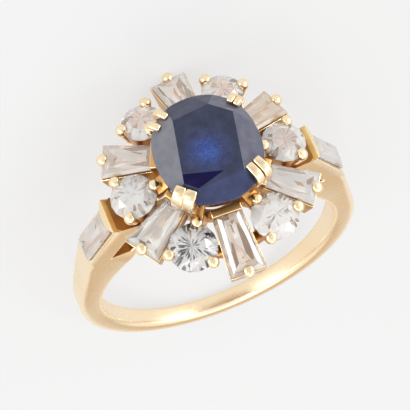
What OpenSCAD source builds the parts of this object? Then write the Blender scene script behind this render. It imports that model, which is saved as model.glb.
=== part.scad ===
// Gold cluster ring: a dark blue oval stone on four double claws over a surround of round and
// tapered stones. The band forks at each shoulder and carries a baguette there.
// Everything is drawn with the ring upright about the centre of the finger hole: X runs across
// the shoulders, Y along the finger, Z up through the head. lying() then lays it on its side,
// with the origin on the surface below the middle of its box.

/* [Band] */
// Inner diameter of the band, where the finger goes
finger_d = 17.5; // [17.2:0.1:18]
// Thickness of the band at its lowest point
band_low_t = 1.4; // [1.3:0.05:1.5]
// Thickness of the band at its sides
band_side_t = 1.65; // [1.55:0.05:1.75]
// Width of the band at its lowest point
band_low_w = 1.4; // [1.2:0.05:1.6]
// Width of the band at the shoulders
shoulder_w = 2.7; // [2.6:0.05:2.8]
// Angle above the horizontal where the band leaves its round course and runs straight up
flare_angle = 9.6; // [8:0.2:11]

/* [Shoulders] */
// Height of the flat top of a shoulder over the finger hole
shoulder_rise = 2.95; // [2.9:0.05:3]
// Angle of that flat top's normal above the horizontal
shoulder_slope = 29.9; // [29:0.1:31]
// Thickness of the upper arm of the fork, under its baguette
arm_t = 1.3; // [1.25:0.05:1.4]
// Thickness of the lower arm of the fork, which runs on under the head
arch_t = 0.85; // [0.8:0.05:0.95]
// Width of the lower arms where they meet under the middle of the head
arch_w = 1.4; // [1.2:0.1:1.6]
// Length of a shoulder baguette
baguette_l = 3.5; // [3.3:0.1:3.6]
// Width of a shoulder baguette
baguette_w = 1.85; // [1.8:0.05:1.9]
// Height of the half-moon bar at the inner end of a shoulder baguette, over the flat top
bar_h = 0.4; // [0.35:0.05:0.5]

/* [Surround] */
// Height of the surround stones' girdles over the finger hole
surround_rise = 3.95; // [3.9:0.05:4]
// Outward lean of each surround stone
stone_tilt = 12; // [10:0.5:14]
// Depth of the open collets under the surround stones
collet_h = 2.1; // [2:0.05:2.2]
// Thickness of collet walls
wall_t = 0.28; // [0.25:0.01:0.3]
// Radius of the bead on each small claw
bead_r = 0.35; // [0.32:0.01:0.38]

/* [Centre stone] */
// Height of the centre stone's girdle over the girdles of the surround
centre_lift = 2.95; // [2.9:0.05:3.1]
// Width of the centre stone, across the finger
centre_w = 7.2; // [7:0.05:7.3]
// Length of the centre stone, along the finger
centre_l = 8.05; // [7.9:0.05:8.2]
// Height of the centre stone's crown over its girdle
centre_crown_h = 1; // [0.9:0.05:1.1]
// Turn of the centre stone's facets against the ring
facet_turn = -12; // [-14:1:-8]

/* [Hidden] */
$fn = 48;

GOLD = [0.86, 0.68, 0.38];
WHITE = [0.93, 0.92, 0.92];
BLUE = [0.10, 0.13, 0.38];

// Clearance between a stone and the metal that holds it
gap = 0.03;

finger_r = finger_d / 2;
surround_z = finger_r + surround_rise;
centre_z = surround_z + centre_lift;

// Surround stones, going round from the right shoulder.
// Columns: node, direction of its place, distance of its middle from the axis of the head,
// turn of the stone in its place, length or diameter, width at the inner end, width at the
// outer end. A stone with no widths is round.
SURROUND = [
    ["round_1",   0.0, 5.38,  0.0, 3.05, 0.0, 0.0],
    ["taper_1",  29.5, 5.25, -8.0, 3.40, 1.7, 2.3],
    ["round_2",  59.8, 5.90,  0.0, 2.90, 0.0, 0.0],
    ["taper_2",  88.5, 5.55,  7.0, 4.20, 1.5, 2.5],
    ["round_3", 120.5, 5.75,  0.0, 2.90, 0.0, 0.0],
    ["taper_3", 150.2, 5.45,  7.0, 3.60, 1.8, 2.5],
    ["round_4", 180.0, 5.40,  0.0, 3.20, 0.0, 0.0],
    ["taper_4", 210.4, 5.30,  1.0, 4.00, 1.6, 2.6],
    ["round_5", 238.3, 5.85,  0.0, 3.35, 0.0, 0.0],
    ["taper_5", 267.8, 5.75,  1.0, 4.35, 1.9, 2.5],
    ["round_6", 299.9, 5.60,  0.0, 3.30, 0.0, 0.0],
    ["taper_6", 328.1, 5.55, -2.0, 3.60, 1.7, 2.4]
];
PLACE = 1;
DISTANCE = 2;
TURN = 3;
LENGTH = 4;
INNER_W = 5;
OUTER_W = 6;
SHOULDER_STONE = ["baguette", 0, 0, 0, baguette_l, baguette_w, baguette_w];

// Double claws round the centre stone. Columns: direction, width of one half, radius of its head
CLAWS = [
    [41, 0.56, 0.45],
    [132, 0.56, 0.45],
    [227, 0.70, 0.55],
    [313, 0.68, 0.53]
];
claw_fan = 5;
claw_share = 0.8;
claw_leg_t = 0.5;
claw_grip = 0.12;
claw_rise = 0.32;

// Small claws: three on a round stone, one inward and two outward
ROUND_CLAW_DIRECTIONS = [180, 62, -62];
post_r = 0.25;
post_depth = 1.6;
post_lean = 0.6;
bead_out = 0.06;
bead_rise = 0.34;

// Collets: how far their walls lean in from the stone to the foot
collet_lean = 0.5;
collet_top = 0.2;
end_bar_t = 0.4;
end_bar_h = 0.45;
end_bar_depth = 1.2;

// Rails under the head
basket_r = 2;
basket_z = finger_r + 0.95;
gallery_r = 5.2;
gallery_z = finger_r + 2;
rail_r = 0.42;
strut_r = 0.32;
rim_r = 3.1;
rim_z = centre_z - 2.3;
rim_wire_r = 0.2;

// Places along a shoulder are measured from the foot of its normal, towards the head
shoulder_reach = finger_r + shoulder_rise;
shoulder_out = 1.8;
baguette_out = shoulder_out + 0.12;
baguette_in = baguette_out + baguette_l;
baguette_proud = 0.12;
fork_place = 2.65;
bar_in = baguette_in + 0.12;
bar_r = 1.65;
bar_depth = 0.6;
arm_w = shoulder_w - 0.04;
arch_side_w = 2.35;

// Angle above the horizontal at which the band's sections end inside the shoulder
band_end = 38;
band_sections = 44;
section_points = 20;
low_roundness = 2.2;
shoulder_roundness = 5;
bore_dip = 0.12;

// Functions for lists of points and faces

function flipped(face) = [for (k = [len(face) - 1:-1:0]) face[k]];

function signed_power(value, power) = sign(value) * pow(abs(value), power);

function ring_of_points(count, radius, height, start = 0) =
    [for (i = [0:count - 1]) let (a = start + 360 * i / count) [radius * cos(a), radius * sin(a), height]];

// Side faces of a stack of closed rings of points, as triangles, seen clockwise from outside
function stack_sides(rings, count) = [
    for (i = [0:rings - 2], k = [0:count - 1])
        let (a = i * count + k, b = i * count + (k + 1) % count)
            each [[a, b + count, b], [a, a + count, b + count]]
];

function stack_faces(rings, count) = concat(
    stack_sides(rings, count),
    [[for (k = [0:count - 1]) k]],
    [[for (k = [count - 1:-1:0]) (rings - 1) * count + k]]
);

// Stones. Each lies about the middle of its girdle, with its table up.

girdle_t = 0.06;
round_table = 0.56;
round_star = 0.79;
round_crown = 0.3;
round_pavilion = 0.87;
round_lower = 0.3;

// Brilliant cut: eight sided table, eight stars, eight kites and sixteen halves over the
// girdle, sixteen halves and eight mains under it
function brilliant_points(r) = let (
    star_x = round_star * cos(22.5),
    star_z = round_crown * (1 - star_x) / (1 - round_table),
    lower_z = round_pavilion * (1 - round_lower * cos(22.5))
) concat(
    ring_of_points(8, r * round_table, r * round_crown + girdle_t / 2),
    ring_of_points(8, r * round_star, r * star_z + girdle_t / 2, 22.5),
    ring_of_points(16, r, girdle_t / 2),
    ring_of_points(16, r, -girdle_t / 2),
    ring_of_points(8, r * round_lower, -r * lower_z - girdle_t / 2, 22.5),
    [[0, 0, -r * round_pavilion - girdle_t / 2]]
);

TABLE = 0;
STAR = 8;
TOP = 16;
BOTTOM = 32;
LOWER = 48;
CULET = 56;

function brilliant_faces() = [for (face = concat(
    [[for (i = [0:7]) TABLE + i]],
    [for (i = [0:7]) [TABLE + i, STAR + i, TABLE + (i + 1) % 8]],
    [for (i = [0:7]) [TABLE + i, STAR + (i + 7) % 8, TOP + 2 * i, STAR + i]],
    [for (i = [0:7]) [STAR + i, TOP + 2 * i, TOP + 2 * i + 1]],
    [for (i = [0:7]) [STAR + i, TOP + 2 * i + 1, TOP + (2 * i + 2) % 16]],
    [for (j = [0:15]) [TOP + j, BOTTOM + j, BOTTOM + (j + 1) % 16, TOP + (j + 1) % 16]],
    [for (i = [0:7]) [LOWER + i, BOTTOM + 2 * i + 1, BOTTOM + 2 * i]],
    [for (i = [0:7]) [LOWER + i, BOTTOM + (2 * i + 2) % 16, BOTTOM + 2 * i + 1]],
    [for (i = [0:7]) [CULET, LOWER + i, BOTTOM + 2 * i, LOWER + (i + 7) % 8]]
)) flipped(face)];

module brilliant(r) {
    polyhedron(points = brilliant_points(r), faces = brilliant_faces());
}

// Outline of a tapered stone, wider at its outer end, moved in by inset on every side
function taper_outline(stone, inset, height) = let (
    half_l = stone[LENGTH] / 2,
    slope = (stone[OUTER_W] - stone[INNER_W]) / 2 / stone[LENGTH],
    middle_w = (stone[OUTER_W] + stone[INNER_W]) / 4 - inset * sqrt(1 + slope * slope),
    x = half_l - inset,
    inner_w = middle_w - slope * x,
    outer_w = middle_w + slope * x
) [[-x, -inner_w, height], [x, -outer_w, height], [x, outer_w, height], [-x, inner_w, height]];

// Steps of a baguette from its keel to its table. Columns: inset as a share of the narrow
// half width, height as a share of the narrow half width
STEPS = [
    [0.90, -1.15],
    [0.50, -0.80],
    [0.00, -0.04],
    [0.00,  0.04],
    [0.22,  0.26],
    [0.48,  0.40]
];

// A step-cut stone, and with grow the room that the metal leaves for it
module step_cut(stone, grow = 0) {
    half_w = stone[INNER_W] / 2;
    rings = [for (step = STEPS) taper_outline(stone, step[0] * half_w - grow,
        step[1] * half_w + sign(step[1]) * grow)];
    polyhedron(points = [for (ring = rings) each ring], faces = stack_faces(len(rings), 4));
}

// Room that the metal leaves for a round stone, turned to pass over its stars and table
module round_room(r) {
    edge_z = girdle_t / 2 + gap;
    star_z = r * round_crown * (1 - round_star * cos(22.5)) / (1 - round_table);
    rotate_extrude()
        polygon([
            [0, -r * round_pavilion - edge_z - gap],
            [r + gap, -edge_z],
            [r + gap, edge_z],
            [r * round_star + gap, star_z + edge_z],
            [r * round_table + gap, r * round_crown + edge_z],
            [0, r * round_crown + edge_z]
        ]);
}

module stone_shape(stone) {
    if (stone[OUTER_W] > 0) step_cut(stone);
    else brilliant(stone[LENGTH] / 2);
}

module stone_room(stone) {
    if (stone[OUTER_W] > 0) step_cut(stone, gap);
    else round_room(stone[LENGTH] / 2);
}

centre_half_w = centre_w / 2;
centre_half_l = centre_l / 2;
centre_girdle_t = 0.16;
crown_foot = centre_girdle_t / 2;
crown_top = crown_foot + centre_crown_h;
centre_pavilion_h = 2.9;
culet_z = -crown_foot - centre_pavilion_h;
outline_points = 72;
outline_roundness = 2.2;
half_facet_run = 0.5;

// Facets of the centre stone. Columns: direction, distance from the axis at the table or culet
CROWN_FACETS = [
    [0, 2.05], [28, 2.73], [61, 2.68], [85, 2.81], [108, 2.47], [142, 2.77],
    [180, 1.98], [208, 3.03], [239, 3.35], [262, 3.40], [286.5, 2.87], [325, 3.04]
];
PAVILION_FACETS = [
    [0, 0.5], [180, 0.5], [90, 0.6], [270, 0.6],
    [22, 0.5], [158, 0.5], [202, 0.5], [338, 0.5],
    [52, 0.4], [128, 0.4], [232, 0.4], [308, 0.4]
];
HALF_FACET_DIRECTIONS = [14, 44, 73, 97, 125, 161, 194, 223, 250, 274, 305, 343];

// Distance from the axis to the centre stone's girdle, square to a facet in one direction
function centre_reach(direction) = let (
    power = outline_roundness / (outline_roundness - 1),
    a = direction + facet_turn
) pow(pow(centre_half_w * abs(cos(a)), power) + pow(centre_half_l * abs(sin(a)), power), 1 / power);

function centre_outline(grow) = [for (k = [0:outline_points - 1]) let (a = 360 * k / outline_points)
    [(centre_half_w + grow) * signed_power(cos(a), 2 / outline_roundness),
     (centre_half_l + grow) * signed_power(sin(a), 2 / outline_roundness)]];

// Block that keeps all below a facet through two distances at two heights
module under_facet(direction, distance_a, height_a, distance_b, height_b) {
    steepness = atan2(abs(height_a - height_b), distance_b - distance_a);
    side = height_a > height_b ? -1 : 1;
    size = 30;
    rotate([0, 0, direction])
        translate([distance_b, 0, height_b])
            rotate([0, side * (90 - steepness), 0])
                translate([-size, -size / 2, -size / 2])
                    cube([size, size, size]);
}

// The centre stone, and with grow the room that the metal leaves for it
module centre_shape(grow = 0) {
    intersection() {
        translate([0, 0, culet_z - grow])
            linear_extrude(crown_top - culet_z + 2 * grow)
                polygon(centre_outline(grow));
        rotate([0, 0, facet_turn])
            intersection_for (facet = CROWN_FACETS)
                under_facet(facet[0], facet[1] + grow, crown_top, centre_reach(facet[0]) + grow, crown_foot);
        rotate([0, 0, facet_turn])
            intersection_for (direction = HALF_FACET_DIRECTIONS) let (reach = centre_reach(direction) + grow)
                under_facet(direction, reach - half_facet_run, crown_top, reach, crown_foot);
        rotate([0, 0, facet_turn])
            intersection_for (facet = PAVILION_FACETS)
                under_facet(facet[0], facet[1] + grow, culet_z, centre_reach(facet[0]) + grow, -crown_foot);
    }
}

// Places

module at_stone(stone) {
    translate([0, 0, surround_z])
        rotate([0, 0, stone[PLACE]])
            translate([stone[DISTANCE], 0, 0])
                rotate([0, 0, stone[TURN]])
                    rotate([0, stone_tilt, 0])
                        children();
}

// Children lie in the shoulder's own frame: X out of the flat top, Z along it to the head
module at_shoulder(side) {
    mirror([side < 0 ? 1 : 0, 0, 0])
        rotate([0, -shoulder_slope, 0])
            children();
}

module at_baguette(side) {
    at_shoulder(side)
        translate([shoulder_reach + baguette_proud, 0, (baguette_in + baguette_out) / 2])
            rotate([0, 90, 0])
                children();
}

// Metal

function section_share(a) = (1 + sin(a)) / (1 + sin(band_end));

function round_reach(a) = finger_r + band_low_t + (band_side_t - band_low_t) * (1 + sin(a));

function band_reach(a) =
    a < flare_angle ? round_reach(a) : round_reach(flare_angle) / cos(a - flare_angle);

// One section of the band at angle a, a rounded outline that turns squarer up the sides
function band_section(a) = let (
    share = section_share(a),
    half_w = (band_low_w + (shoulder_w - band_low_w) * share) / 2,
    roundness = low_roundness + (shoulder_roundness - low_roundness) * share * share,
    low = finger_r - bore_dip,
    high = band_reach(a),
    middle = (high + low) / 2,
    half_h = (high - low) / 2
) [for (k = [0:section_points - 1]) let (
    q = 360 * (k + 0.5) / section_points,
    y = half_w * signed_power(cos(q), 2 / roundness),
    r = middle + half_h * signed_power(sin(q), 2 / roundness)
) [r * cos(a), y, r * sin(a)]];

module band() {
    step = (180 + 2 * band_end) / band_sections;
    rings = [for (i = [0:band_sections]) let (a = band_end - i * step)
        [for (point = band_section(a > -90 ? a : -180 - a))
            [a > -90 ? point[0] : -point[0], point[1], point[2]]]];
    polyhedron(
        points = [for (ring = rings) each ring],
        faces = stack_faces(len(rings), section_points)
    );
}

module upright_plate(width) {
    rotate([90, 0, 0])
        linear_extrude(width, center = true)
            children();
}

// Place in the plane through X and Z, given out along the shoulder's normal and along its top
function on_shoulder(out, along) = [
    out * cos(shoulder_slope) - along * sin(shoulder_slope),
    out * sin(shoulder_slope) + along * cos(shoulder_slope)
];

function on_arc(radius, angle) = [radius * cos(angle), radius * sin(angle)];

// Upper arm of a fork, its end under the head, and the root that it shares with the lower arm
module shoulder_arm(side) {
    under = shoulder_reach - arm_t;
    bar_end = bar_in + bar_depth;
    root_r = finger_r + 0.4;
    mirror([side < 0 ? 1 : 0, 0, 0])
        upright_plate(arm_w)
            polygon([
                on_shoulder(shoulder_reach, shoulder_out),
                on_shoulder(shoulder_reach, bar_end),
                on_shoulder(shoulder_reach - 0.35, bar_end + 0.1),
                [gallery_r, gallery_z + 0.2],
                [gallery_r, gallery_z - 0.4],
                on_shoulder(under - 0.12, fork_place + 2.3),
                on_shoulder(under, fork_place),
                on_arc(finger_r + arch_t, 48),
                on_arc(root_r, 46),
                on_arc(root_r, 34),
                on_shoulder(shoulder_reach - 0.6, shoulder_out - 0.9)
            ]);
}

// Half-moon bar across the inner end of a shoulder baguette
module shoulder_bar(side) {
    sunk = 0.6;
    at_shoulder(side)
        translate([shoulder_reach - sunk, 0, bar_in])
            rotate([0, 90, 0])
                intersection() {
                    translate([-bar_r, 0, 0])
                        cylinder(h = bar_h + sunk, r = bar_r);
                    translate([-bar_depth, -bar_r, 0])
                        cube([bar_depth, 2 * bar_r, bar_h + sunk]);
                }
}

// Lower arms of the forks, meeting in an arch under the head
module arch() {
    reach = finger_r + arch_t;
    side_x = 6.4;
    intersection() {
        rotate([90, 0, 0])
            cylinder(h = shoulder_w, r = reach, center = true, $fn = 96);
        linear_extrude(reach + 1)
            polygon([
                [-side_x, -arch_side_w / 2], [0, -arch_w / 2], [side_x, -arch_side_w / 2],
                [side_x, arch_side_w / 2], [0, arch_w / 2], [-side_x, arch_side_w / 2]
            ]);
    }
}

// Straight round bar between two points of the plane through X and Z
module bar_between(from, to, r) {
    run = to - from;
    translate([from[0], 0, from[1]])
        rotate([0, atan2(run[0], run[1]), 0])
            cylinder(h = norm(run), r = r);
}

module rail(radius, height, wire_r) {
    rotate_extrude()
        translate([radius, height])
            circle(wire_r);
}

// Rails under the head, with a bar to join them below each double claw
module gallery() {
    rail(basket_r, basket_z, rail_r);
    rail(gallery_r, gallery_z, rail_r);
    rail(rim_r, rim_z, rim_wire_r);
    for (claw = CLAWS)
        rotate([0, 0, claw[0]])
            bar_between([basket_r, basket_z], [gallery_r, gallery_z], strut_r);
}

// Half of a double claw: a leg from the basket up to a rounded head over the girdle
module half_claw(girdle_r, width, head_r) {
    head = [girdle_r - claw_grip, centre_z + claw_rise];
    leg = head - [basket_r, basket_z];
    translate([head[0], 0, head[1]])
        rotate([90, 0, 0])
            cylinder(h = width, r = head_r, center = true);
    translate([basket_r, 0, basket_z])
        rotate([0, atan2(leg[0], leg[1]), 0])
            translate([head_r - claw_leg_t, -width / 2, 0])
                cube([claw_leg_t, width, norm(leg)]);
}

// Distance of the centre stone's edge from its middle in one direction
function centre_edge(direction) = pow(
    pow(abs(cos(direction)) / centre_half_w, outline_roundness)
    + pow(abs(sin(direction)) / centre_half_l, outline_roundness), -1 / outline_roundness);

module double_claws() {
    for (claw = CLAWS, half = [-1, 1])
        rotate([0, 0, claw[0] + half * claw_fan / 2])
            translate([0, half * claw_share * claw[1] / 2, 0])
                half_claw(centre_edge(claw[0]), claw[1], claw[2]);
}

module bead_claw(reach) {
    bar_between([reach + bead_out - post_lean, -post_depth], [reach + bead_out, bead_rise], post_r);
    translate([reach + bead_out, 0, bead_rise])
        sphere(r = bead_r);
}

// Open cone under a round stone, with its three claws
module round_collet(stone) {
    r = stone[LENGTH] / 2;
    top_r = 0.96 * r;
    foot_r = 0.58 * r;
    difference() {
        translate([0, 0, -collet_h])
            cylinder(h = collet_h - collet_top / 2, r1 = foot_r, r2 = top_r);
        translate([0, 0, -collet_h - 0.1])
            cylinder(h = collet_h + 0.1, r1 = foot_r - wall_t - 0.02, r2 = top_r - wall_t);
    }
    for (direction = ROUND_CLAW_DIRECTIONS)
        rotate([0, 0, direction])
            bead_claw(r);
}

// Box under a tapered stone that leans in towards its foot, less inset on every side
module taper_box(stone, inset, low, high) {
    function outline(z) = taper_outline(stone, inset - collet_lean * z / collet_h, z);
    polyhedron(points = concat(outline(low), outline(high)), faces = stack_faces(2, 4));
}

// Open box under a tapered stone, with its end bar and its claw
module taper_collet(stone) {
    half_l = stone[LENGTH] / 2;
    end_bar_w = stone[INNER_W] + 0.25;
    difference() {
        taper_box(stone, -wall_t / 2, -collet_h, -collet_top);
        taper_box(stone, wall_t / 2, -collet_h - 0.1, 0);
    }
    translate([-half_l - gap - end_bar_t, -end_bar_w / 2, -end_bar_depth])
        cube([end_bar_t, end_bar_w, end_bar_depth + end_bar_h]);
    bead_claw(half_l);
}

module collet(stone) {
    if (stone[OUTER_W] > 0) taper_collet(stone);
    else round_collet(stone);
}

// All the soldered metal, less the finger hole and the room for each stone
module ring_mount() {
    color(GOLD)
        lying()
            difference() {
                union() {
                    band();
                    arch();
                    gallery();
                    double_claws();
                    for (side = [1, -1]) {
                        shoulder_arm(side);
                        shoulder_bar(side);
                    }
                    for (stone = SURROUND) at_stone(stone) collet(stone);
                }
                rotate([90, 0, 0])
                    cylinder(h = 30, r = finger_r, center = true, $fn = 96);
                translate([0, 0, centre_z]) centre_shape(gap);
                for (stone = SURROUND) at_stone(stone) stone_room(stone);
                for (side = [1, -1]) at_baguette(side) step_cut(SHOULDER_STONE, gap);
            }
}

module centre_stone() {
    color(BLUE)
        lying()
            translate([0, 0, centre_z])
                centre_shape();
}

module surround_stone(stone) {
    color(WHITE)
        lying()
            at_stone(stone)
                stone_shape(stone);
}

module shoulder_baguette(side) {
    color(WHITE)
        lying()
            at_baguette(side)
                step_cut(SHOULDER_STONE);
}

// How the ring lies: turned over onto the far side of its head, the head propped up
prop_angle = 18.46;
roll_angle = -0.8;
laid_middle = [0.002, -3.514, -3.689];

module lying() {
    translate(-laid_middle)
        rotate([0, 0, 180])
            rotate([0, roll_angle, 0])
                rotate([prop_angle - 90, 0, 0])
                    children();
}

ring_mount();
centre_stone();
for (stone = SURROUND) surround_stone(stone);
shoulder_baguette(1);  // baguette_right
shoulder_baguette(-1);  // baguette_left
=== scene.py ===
"""The looks of a gold cluster ring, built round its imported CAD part.

Metal is modelled in the ring's own frame, in millimetres: the middle of the finger hole is the
origin, X runs across the shoulders, Y along the finger and Z up through the head. lay_down()
then puts each piece where the CAD part lies, in metres.
"""

import math
from collections import namedtuple

import bmesh
import bpy
from mathutils import Matrix, Vector


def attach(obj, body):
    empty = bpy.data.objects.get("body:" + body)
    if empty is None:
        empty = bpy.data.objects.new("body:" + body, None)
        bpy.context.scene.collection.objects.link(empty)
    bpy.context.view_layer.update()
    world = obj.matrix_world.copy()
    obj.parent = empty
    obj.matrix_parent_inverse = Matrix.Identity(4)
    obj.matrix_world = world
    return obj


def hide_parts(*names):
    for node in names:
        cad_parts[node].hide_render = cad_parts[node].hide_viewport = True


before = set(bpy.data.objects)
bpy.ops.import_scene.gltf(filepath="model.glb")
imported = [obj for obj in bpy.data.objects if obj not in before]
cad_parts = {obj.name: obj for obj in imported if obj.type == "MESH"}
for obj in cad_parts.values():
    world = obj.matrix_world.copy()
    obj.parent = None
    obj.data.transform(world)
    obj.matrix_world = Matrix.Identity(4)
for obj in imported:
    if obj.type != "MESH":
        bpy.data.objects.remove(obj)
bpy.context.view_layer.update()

# How the ring lies, as in the part's source
PROP_ANGLE = 18.46
ROLL_ANGLE = -0.8
LAID_MIDDLE = (0.002, -3.514, -3.689)
MILLIMETRE = 0.001

# Corners of a piece that lie closer than this, in millimetres, become one
SEAM = 0.001

# Band, in millimetres and degrees
FINGER_R = 8.75
LOW_THICKNESS = 1.37
SIDE_THICKNESS = 1.635
LOW_WIDTH = 1.34
SHOULDER_WIDTH = 2.65
FLARE_ANGLE = 9.6
SHOULDER_ANGLE = 38
ARCH_ANGLE = SHOULDER_ANGLE + 8
ARCH_THICKNESS = 0.85
ARCH_WIDTH = 1.4
ARCH_SIDE_WIDTH = 2.35
SECTIONS = 48
SECTION_ANGLE = 180 / SECTIONS
CORNER_SECTION = 34
FORK_SECTION = 36

# Shoulders. Places are out along the flat top's normal, and along the top towards the head
SHOULDER_REACH = 11.7
SHOULDER_SLOPE = 29.9
SHOULDER_OUT = 1.8
ARM_THICKNESS = 1.3
FORK_PLACE = 2.65
ARM_TAPER = 0.12
ARM_UNDER_RUN = 2.3
ARM_END_RISE = 0.2
BAR_IN = 5.54
BAR_DEPTH = 0.6
BAR_FORWARD = 0.08
BAR_RADIUS = 1.65
BAR_HEIGHT = 0.4
BAR_SUNK = 0.6
BAGUETTE_MIDDLE = 3.67
BAGUETTE_PROUD = 0.12

# Head
SURROUND_Z = 12.7
STONE_TILT = 12
COLLET_DEPTH = 2.1
WALL = 0.28
CENTRE_Z = 15.65
CENTRE_HALF_WIDTH = 3.6
CENTRE_HALF_LENGTH = 4.025
CENTRE_ROUNDNESS = 2.2
BASKET_R = 2.0
BASKET_Z = 9.7
GALLERY_R = 5.2
GALLERY_Z = 10.75
RIM_R = 2.9
RIM_Z = 13.35
STONE_ROOM = 1.015

# Surround. A round stone has no widths, and its length is its diameter
Stone = namedtuple("Stone", "node direction distance turned length inner_width outer_width")
SURROUND = (
    Stone("round_1", 0.0, 5.38, 0.0, 3.05, 0.0, 0.0),
    Stone("taper_1", 29.5, 5.25, -8.0, 3.40, 1.7, 2.3),
    Stone("round_2", 59.8, 5.90, 0.0, 2.90, 0.0, 0.0),
    Stone("taper_2", 88.5, 5.55, 7.0, 4.20, 1.5, 2.5),
    Stone("round_3", 120.5, 5.75, 0.0, 2.90, 0.0, 0.0),
    Stone("taper_3", 150.2, 5.45, 7.0, 3.60, 1.8, 2.5),
    Stone("round_4", 180.0, 5.40, 0.0, 3.20, 0.0, 0.0),
    Stone("taper_4", 210.4, 5.30, 1.0, 4.00, 1.6, 2.6),
    Stone("round_5", 238.3, 5.85, 0.0, 3.35, 0.0, 0.0),
    Stone("taper_5", 267.8, 5.75, 1.0, 4.35, 1.9, 2.5),
    Stone("round_6", 299.9, 5.60, 0.0, 3.30, 0.0, 0.0),
    Stone("taper_6", 328.1, 5.55, -2.0, 3.60, 1.7, 2.4),
)
# Double claws: direction, width of one half, radius of its bend, height of the bend's middle
# over the girdle, length of the tip beyond the bend, height of the thick head, spread of the
# halves, turn of the whole claw about its tip
CLAWS = (
    (40, 0.46, 0.44, 0.28, 0.40, 0.4, 1, 0),
    (129, 0.52, 0.46, 0.18, 0.56, 0.4, 8, 0),
    (227, 0.78, 0.68, 0.20, 0.34, 1.10, 1, 0),
    (313, 0.60, 0.60, 0.27, 0.66, 0.8, 2, -20),
)
CLAW_SHARE = 0.9
CLAW_SHARE_OF_BEND = 0.8
CLAW_GRIP = 0.12
CLAW_SWELL = 0.15
CLAW_BEND = 100
CLAW_ROUNDING = 0.24
CLAW_REACH = 0.65
CLAW_TIP_SHARE = 0.9
ROUND_CLAW_DIRECTIONS = (180, 62, -62)

# Camera, in metres and degrees
CAMERA_PLACE = (0.029609, -0.151297, 0.144632)
CAMERA_TURN = (-43.6981, -20.4545, 171.0732)
CAMERA_LENS = 263.28


# Placing and selecting

def turn(angle, axis):
    return Matrix.Rotation(math.radians(angle), 4, axis)


LYING = (
    Matrix.Scale(MILLIMETRE, 4)
    @ Matrix.Translation(-Vector(LAID_MIDDLE))
    @ turn(180, "Z")
    @ turn(ROLL_ANGLE, "Y")
    @ turn(PROP_ANGLE - 90, "X")
)


def choose(piece):
    if bpy.context.object and bpy.context.object.mode != "OBJECT":
        bpy.ops.object.mode_set(mode="OBJECT")
    bpy.ops.object.select_all(action="DESELECT")
    piece.select_set(True)
    bpy.context.view_layer.objects.active = piece


def added(name):
    """Names the primitive just added and keeps its place in its mesh."""
    piece = bpy.context.object
    piece.name = name
    piece.data.name = name
    settle(piece)
    return piece


def settle(piece):
    choose(piece)
    bpy.ops.object.transform_apply(location=True, rotation=True, scale=True)


def edit(piece):
    choose(piece)
    bpy.ops.object.mode_set(mode="EDIT")


def done():
    bpy.ops.object.mode_set(mode="OBJECT")


def pick(kind, test):
    """Selects the verts, edges or faces whose middle, and normal if a face, pass the test."""
    mode = {"verts": "VERT", "edges": "EDGE", "faces": "FACE"}[kind]
    bpy.ops.mesh.select_mode(type=mode)
    bpy.ops.mesh.select_all(action="DESELECT")
    mesh = bmesh.from_edit_mesh(bpy.context.edit_object.data)
    mesh.normal_update()
    for item in getattr(mesh, kind):
        if kind == "verts":
            passes = test(item.co)
        elif kind == "edges":
            passes = test(item.verts[0].co, item.verts[1].co)
        else:
            passes = test(item.calc_center_median(), item.normal)
        if passes:
            item.select_set(True)
    mesh.select_flush_mode()
    bmesh.update_edit_mesh(bpy.context.edit_object.data)


def shift(x=0.0, y=0.0, z=0.0):
    bpy.ops.transform.translate(value=(x, y, z))


def swell(x=1.0, y=1.0, z=1.0, about=(0, 0, 0)):
    bpy.ops.transform.resize(value=(x, y, z), center_override=about)


def extrude(x=0.0, y=0.0, z=0.0):
    bpy.ops.mesh.extrude_region_move(TRANSFORM_OT_translate={"value": (x, y, z)})


def place(piece, matrix):
    piece.matrix_world = matrix @ piece.matrix_world
    settle(piece)


def modify(piece, kind, **settings):
    choose(piece)
    modifier = piece.modifiers.new(kind.title(), kind)
    for name, value in settings.items():
        setattr(modifier, name, value)
    bpy.ops.object.modifier_apply(modifier=modifier.name)


def ease_edges(piece, width, segments=2, angle=30):
    modify(
        piece, "BEVEL", width=width, segments=segments,
        limit_method="ANGLE", angle_limit=math.radians(angle),
    )


def ease_weighted_edges(piece, width, segments):
    modify(piece, "BEVEL", width=width, segments=segments, limit_method="WEIGHT")


def cut(piece, cutter):
    modify(piece, "BOOLEAN", operation="DIFFERENCE", solver="EXACT", object=cutter)


def copy_of(piece, name):
    copy = piece.copy()
    copy.data = piece.data.copy()
    copy.name = name
    copy.data.name = name
    bpy.context.scene.collection.objects.link(copy)
    return copy


def discard(piece):
    bpy.data.objects.remove(piece)


def join(pieces, name):
    choose(pieces[0])
    for piece in pieces[1:]:
        piece.select_set(True)
    bpy.ops.object.join()
    return added(name)


def close_seams(piece):
    edit(piece)
    bpy.ops.mesh.select_all(action="SELECT")
    bpy.ops.mesh.remove_doubles(threshold=SEAM)
    bpy.ops.mesh.dissolve_degenerate(threshold=SEAM)
    bpy.ops.mesh.normals_make_consistent(inside=False)
    done()


def polish(piece, angle=35):
    choose(piece)
    bpy.ops.object.shade_smooth_by_angle(angle=math.radians(angle))


def dress(piece, plain, *others):
    """Gives a piece its plain material, and others to the faces that their tests choose."""
    piece.data.materials.clear()
    for material in (plain, *[material for material, test in others]):
        piece.data.materials.append(material)
    edit(piece)
    for index, (material, test) in enumerate(others, 1):
        pick("faces", test)
        piece.active_material_index = index
        bpy.ops.object.material_slot_assign()
    done()


def lay_down(piece):
    """Puts a finished piece of metal where the part's ring mount lies."""
    place(piece, LYING)
    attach(piece, "root")
    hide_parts("ring_mount")


def stone_place(stone):
    return (
        Matrix.Translation((0, 0, SURROUND_Z))
        @ turn(stone.direction, "Z")
        @ Matrix.Translation((stone.distance, 0, 0))
        @ turn(stone.turned, "Z")
        @ turn(STONE_TILT, "Y")
    )


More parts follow.
